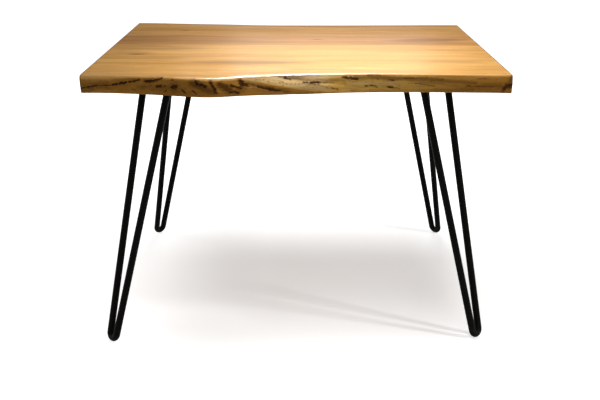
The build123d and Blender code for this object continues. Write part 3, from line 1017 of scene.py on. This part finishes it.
def pan_head_screw(sizes):
    """A wood screw head down at each point, turned at random."""
    tree, given, result = grown_tree("pan_head_screw", sizes)

    def turned_bar(count, radius, height):
        """A bar on the z axis through count points, with radius and height for each."""
        bar = add_node(tree, "GeometryNodeCurvePrimitiveLine", {"End": (0, 0, 1)})
        place = add_node(tree, "ShaderNodeCombineXYZ", {2: height})
        for kind, feeds in (
            ("GeometryNodeResampleCurve", {"Count": count}),
            ("GeometryNodeSetPosition", {"Position": place}),
            ("GeometryNodeSetCurveRadius", {"Radius": radius}),
        ):
            bar = add_node(tree, kind, {0: bar, **feeds})
        return add_node(tree, "GeometryNodeCurveToMesh", {
            "Curve": bar, "Profile Curve": ring(tree, 32, 1.0), "Fill Caps": True,
            "Scale": add_node(tree, "GeometryNodeInputRadius"),
        })

    step = add_node(tree, "GeometryNodeInputIndex")
    # Head: a dome in nine steps, then the straight wall up to the plate.
    dome_steps = 9
    share = calc(tree, "DIVIDE", calc(tree, "MINIMUM", step, dome_steps), dome_steps)
    lift = calc(tree, "MULTIPLY_ADD", share, math.radians(85), math.radians(5))
    head_radius = times(tree, calc(tree, "SINE", lift), times(tree, given["Head Width"], 0.5))
    dome = calc(tree, "SUBTRACT", given["Head Height"], given["Wall"])
    head_level = calc(tree, "MULTIPLY_ADD", calc(tree, "COSINE", lift), dome, given["Wall"])
    at_plate = calc(tree, "GREATER_THAN", step, dome_steps + 0.5)
    head_level = times(tree, head_level, calc(tree, "SUBTRACT", at_plate, 1.0))
    head = turned_bar(dome_steps + 2, head_radius, head_level)

    # Recess: two tapered wings, crossed, cut out of the head.
    cut = tree.nodes.new("GeometryNodeMeshBoolean")
    cut.operation = "DIFFERENCE"
    cut.solver = "EXACT"
    tree.links.new(head, cut.inputs["Mesh 1"])
    head_top = times(tree, given["Head Height"], -1.0)
    wing_middle = calc(tree, "MULTIPLY_ADD", given["Recess Depth"], -0.2, head_top)
    wing_middle = add_node(tree, "ShaderNodeCombineXYZ", {2: wing_middle})
    for quarter in (0.0, math.pi / 2):
        wing = add_node(tree, "GeometryNodeMeshCone", {
            "Vertices": 4, "Radius Top": times(tree, given["Recess Width"], 0.2),
            "Radius Bottom": times(tree, given["Recess Width"], 0.56),
            "Depth": times(tree, given["Recess Depth"], 1.2),
        })
        wing = add_node(tree, "GeometryNodeTransform", {
            "Geometry": wing, "Scale": (1.0, 0.28, 1.0), "Rotation": (0, 0, quarter),
            "Translation": wing_middle,
        })
        tree.links.new(wing, cut.inputs["Mesh 2"])

    # Core: three points, at the head, where the tip begins, and at the point itself.
    to_tip = calc(tree, "SUBTRACT", given["Length"], given["Tip"])
    past_tip = calc(tree, "MAXIMUM", calc(tree, "SUBTRACT", step, 1.0), 0.0)
    past_tip = times(tree, past_tip, given["Tip"])
    core_level = calc(tree, "MULTIPLY_ADD", calc(tree, "MINIMUM", step, 1.0), to_tip, past_tip)
    shank, point = (times(tree, given["Core Width"], share) for share in (0.48, 0.02))
    core_radius = calc(tree, "MULTIPLY_ADD", calc(tree, "LESS_THAN", step, 1.5), shank, point)
    core = turned_bar(3, core_radius, core_level)

    # Thread: a square wire wound round the core, clear of the plate.
    thread_start = 0.0045
    threaded = calc(tree, "SUBTRACT", to_tip, thread_start)
    root_radius = times(tree, given["Core Width"], 0.47)
    helix = add_node(tree, "GeometryNodeCurveSpiral", {
        "Resolution": 24, "Rotations": calc(tree, "DIVIDE", threaded, given["Pitch"]),
        "Start Radius": root_radius, "End Radius": root_radius, "Height": threaded,
    })
    crest = calc(tree, "SUBTRACT", times(tree, given["Thread Width"], 0.5), root_radius)
    thread = add_node(tree, "GeometryNodeCurveToMesh", {
        "Curve": helix, "Profile Curve": ring(tree, 4, crest), "Fill Caps": True,
    })
    thread = add_node(tree, "GeometryNodeTransform", {
        "Geometry": thread, "Translation": (0, 0, thread_start),
    })

    screw = tree.nodes.new("GeometryNodeJoinGeometry")
    for part in (cut.outputs[0], core, thread):
        tree.links.new(part, screw.inputs[0])
    spin = add_node(tree, "FunctionNodeRandomValue", {
        "Min": (0, 0, 0), "Max": (0, 0, math.tau), "Seed": given["Seed"],
    }, data_type="FLOAT_VECTOR")
    spin = add_node(tree, "FunctionNodeEulerToRotation", {0: spin})
    driven = add_node(tree, "GeometryNodeInstanceOnPoints", {
        "Points": given["Geometry"], "Instance": screw.outputs[0], "Rotation": spin,
    })
    return close_tree(tree, driven, given, result)


def black_screw():
    """Black phosphate, rubbed back to steel where the driver has slipped."""
    phosphate, steel = (0.014, 0.014, 0.015), (0.21, 0.205, 0.2)
    material, tree, shader, place = new_finish("screw_black_steel")
    blotch = cloud(tree, place, (900.0, 900.0, 900.0), detail=3.0, roughness=0.65)
    feed(tree, shader, {
        "Base Color": blend_colours(tree, ramp(tree, blotch, 0.6, 0.7), phosphate, steel),
        "Roughness": ramp(tree, blotch, 0.35, 0.65, 0.5, 0.34),
        "Metallic": ramp(tree, blotch, 0.4, 0.7, 0.35, 1.0),
        "Normal": relief(tree, blotch, strength=0.25, depth=0.0002),
    })
    return material


screw_nodes = [
    f"{leg}_leg_screw_{corner}" for leg in LEGS
    for corner in ("front_left", "front_right", "back_left", "back_right")
]
plate_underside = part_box("front_left_leg_plate")[0].z
screw_places = [(*plan_middle(screw), plate_underside) for screw in screw_nodes]
screws = grow("leg_screws", pan_head_screw, screw_places, {
    "Head Width": 0.0099, "Head Height": 0.0032, "Wall": 0.0016, "Core Width": 0.0036,
    "Length": 0.019, "Tip": 0.004, "Thread Width": 0.0049, "Pitch": 0.002,
    "Recess Width": 0.0052, "Recess Depth": 0.0019, "Seed": 8, "Material": black_screw(),
})
screws.data.shade_smooth()
screws.data.set_sharp_from_angle(angle=math.radians(35))
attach(screws, "root")
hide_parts(*screw_nodes)

# ---- The biscuits ----
# Pressed beech lenses glued into slots in the seams, three to a seam. They show only
# where a board is taken away.

biscuit_beech, beech, beech_shader, beech_place = new_finish("pressed_beech")
beech_light, beech_dark, fleck = (0.52, 0.31, 0.16), (0.42, 0.23, 0.11), (0.24, 0.11, 0.045)
flecks = cloud(beech, beech_place, (240.0, 1500.0, 1500.0))
pressed = cloud(beech, beech_place, (30.0, 220.0, 220.0), detail=3.0)
beech_colour = blend_colours(beech, ramp(beech, pressed, 0.3, 0.7), beech_light, beech_dark)
flecked = ramp(beech, flecks, 0.6, 0.7, 0.0, 0.6)
beech_colour = blend_colours(beech, flecked, beech_colour, fleck)
feed(beech, beech_shader, {
    "Base Color": beech_colour,
    "Roughness": ramp(beech, pressed, 0.3, 0.7, 0.6, 0.75),
    "Normal": relief(beech, flecks, strength=0.3, depth=0.0002),
})
for seam in ("front_seam", "middle_seam", "back_seam"):
    for place in ("left", "centre", "right"):
        finish_node(f"{seam}_biscuit_{place}", biscuit_beech)

# ---- The studio ----
# A pale floor under soft light: one softbox over the table, two behind it, one in front,
# one low on the left, and a small one far off to the right that throws the legs' shadows.
# The camera stands in front of the table's middle, higher than its top, and looks down.

WHITE = (1.0, 1.0, 1.0, 1.0)


def seen_directly(tree):
    """1 for what the camera, a reflection or glass looks at, else 0."""
    path = tree.nodes.new("ShaderNodeLightPath").outputs
    seen = calc(tree, "MAXIMUM", path["Is Camera Ray"], path["Is Glossy Ray"])
    return calc(tree, "MAXIMUM", seen, path["Is Transmission Ray"])


world = bpy.data.worlds.new("studio")
bpy.context.scene.world = world
world.use_nodes = True
sky = world.node_tree.nodes["Background"]
room_light = 0.08
glow = calc(
    world.node_tree, "MULTIPLY_ADD", seen_directly(world.node_tree), 1.0 - room_light, room_light
)
feed(world.node_tree, sky, {"Color": WHITE, "Strength": glow})

floor_mesh = bpy.data.meshes.new("studio_floor")
half_floor = 6.0
floor_corners = [
    (x * half_floor, y * half_floor, 0) for x, y in ((-1, -1), (1, -1), (1, 1), (-1, 1))
]
floor_mesh.from_pydata(floor_corners, [], [(0, 1, 2, 3)])
floor = place_in_scene("studio_floor", floor_mesh)
floor_paint = bpy.data.materials.new("floor_paint")
floor_paint.use_nodes = True
paint = floor_paint.node_tree
paint.nodes.remove(paint.nodes["Principled BSDF"])
pale_grey = (0.8, 0.8, 0.8, 1.0)
matt = add_node(paint, "ShaderNodeBsdfDiffuse", {"Color": pale_grey})
# Under the table the floor's glow is lowered, a painted shadow over the real one. It turns
# to plain white past these lines, and the part that the slab keeps from the side softbox
# is lifted to the same grey with painted light.
spot = add_node(paint, "ShaderNodeTexCoord", out="Object")
spot = add_node(paint, "ShaderNodeSeparateXYZ", {0: spot}).node.outputs
painted_shadow_zone = 1.0
for axis, dark_to, white_from in (
    ("X", -0.11, -0.475), ("X", 0.21, 0.50), ("Y", 0.085, 0.51), ("Y", 0.0, -0.62),
):
    inside = ramp(paint, spot[axis], dark_to, white_from, 1.0, 0.0)
    painted_shadow_zone = times(paint, painted_shadow_zone, inside)
side_lit = calc(
    paint, "MAXIMUM", ramp(paint, spot["X"], -0.18, -0.03), ramp(paint, spot["Y"], -0.09, -0.23)
)
unlit_lift, lit_less, full_white = 0.375, 0.16, 1.05
shade = calc(paint, "MULTIPLY_ADD", side_lit, -lit_less, unlit_lift)
white_out = add_node(paint, "ShaderNodeMix", {0: painted_shadow_zone, 2: full_white, 3: shade})
lift = add_node(paint, "ShaderNodeEmission", {
    "Color": WHITE, "Strength": times(paint, seen_directly(paint), white_out),
})
both = add_node(paint, "ShaderNodeAddShader", {0: matt, 1: lift})
paint.links.new(both, paint.nodes["Material Output"].inputs["Surface"])
floor.data.materials.append(floor_paint)

# Each softbox: its place, what it is turned to, width, depth, watts, spread in degrees.
for name, place, aim, width, depth, watts, spread in (
    ("overhead_softbox", (0.08, -0.17, 1.0), (0.08, -0.17, 0.43), 0.24, 0.32, 0.88, 84),
    ("rear_softbox", (0.05, 0.75, 0.75), (0.05, -0.2, 0.434), 0.7, 0.12, 0.72, 60),
    ("low_back_softbox", (0.12, 2.27, 1.05), (0.05, -0.13, 0.434), 0.8, 0.2, 20.0, 180),
    ("front_softbox", (0.5, -1.9, 1.5), (0.0, 0.0, 0.4), 0.8, 0.6, 8.0, 180),
    ("side_softbox", (1.795, -0.776, 1.83), (0.0, 0.0, 0.2), 0.24, 0.24, 19.0, 180),
    ("left_softbox", (-1.8, 0.9, 0.5), (-0.3, 0.0, 0.4), 0.8, 0.5, 8.0, 180),
):
    lamp = bpy.data.lights.new(name, "AREA")
    lamp.shape = "RECTANGLE"
    lamp.size = width
    lamp.size_y = depth
    lamp.energy = watts
    lamp.spread = math.radians(spread)
    holder = place_in_scene(name, lamp)
    holder.location = place
    holder.rotation_euler = (Vector(aim) - Vector(place)).to_track_quat("-Z", "Y").to_euler()
    holder.visible_camera = False

camera = place_in_scene("camera", bpy.data.cameras.new("camera"))
camera.data.sensor_width = 36.0
camera.data.lens = 60.0
camera.data.clip_end = 50.0
camera.location = (0.00207, -1.7159, 0.69988)
camera.rotation_mode = "QUATERNION"
down, aside, roll = math.radians(17.519), math.radians(0.1093), math.radians(0.2415)
ahead = Vector((
    math.sin(aside) * math.cos(down), math.cos(aside) * math.cos(down), -math.sin(down)
))
level = Vector((math.cos(aside), -math.sin(aside), 0.0))
above = level.cross(ahead)
camera_x = level * math.cos(roll) + above * math.sin(roll)
camera_y = above * math.cos(roll) - level * math.sin(roll)
turned = Matrix((camera_x, camera_y, -ahead)).transposed()
camera.rotation_quaternion = turned.to_quaternion()
bpy.context.scene.camera = camera
bpy.context.scene.view_settings.view_transform = "Standard"
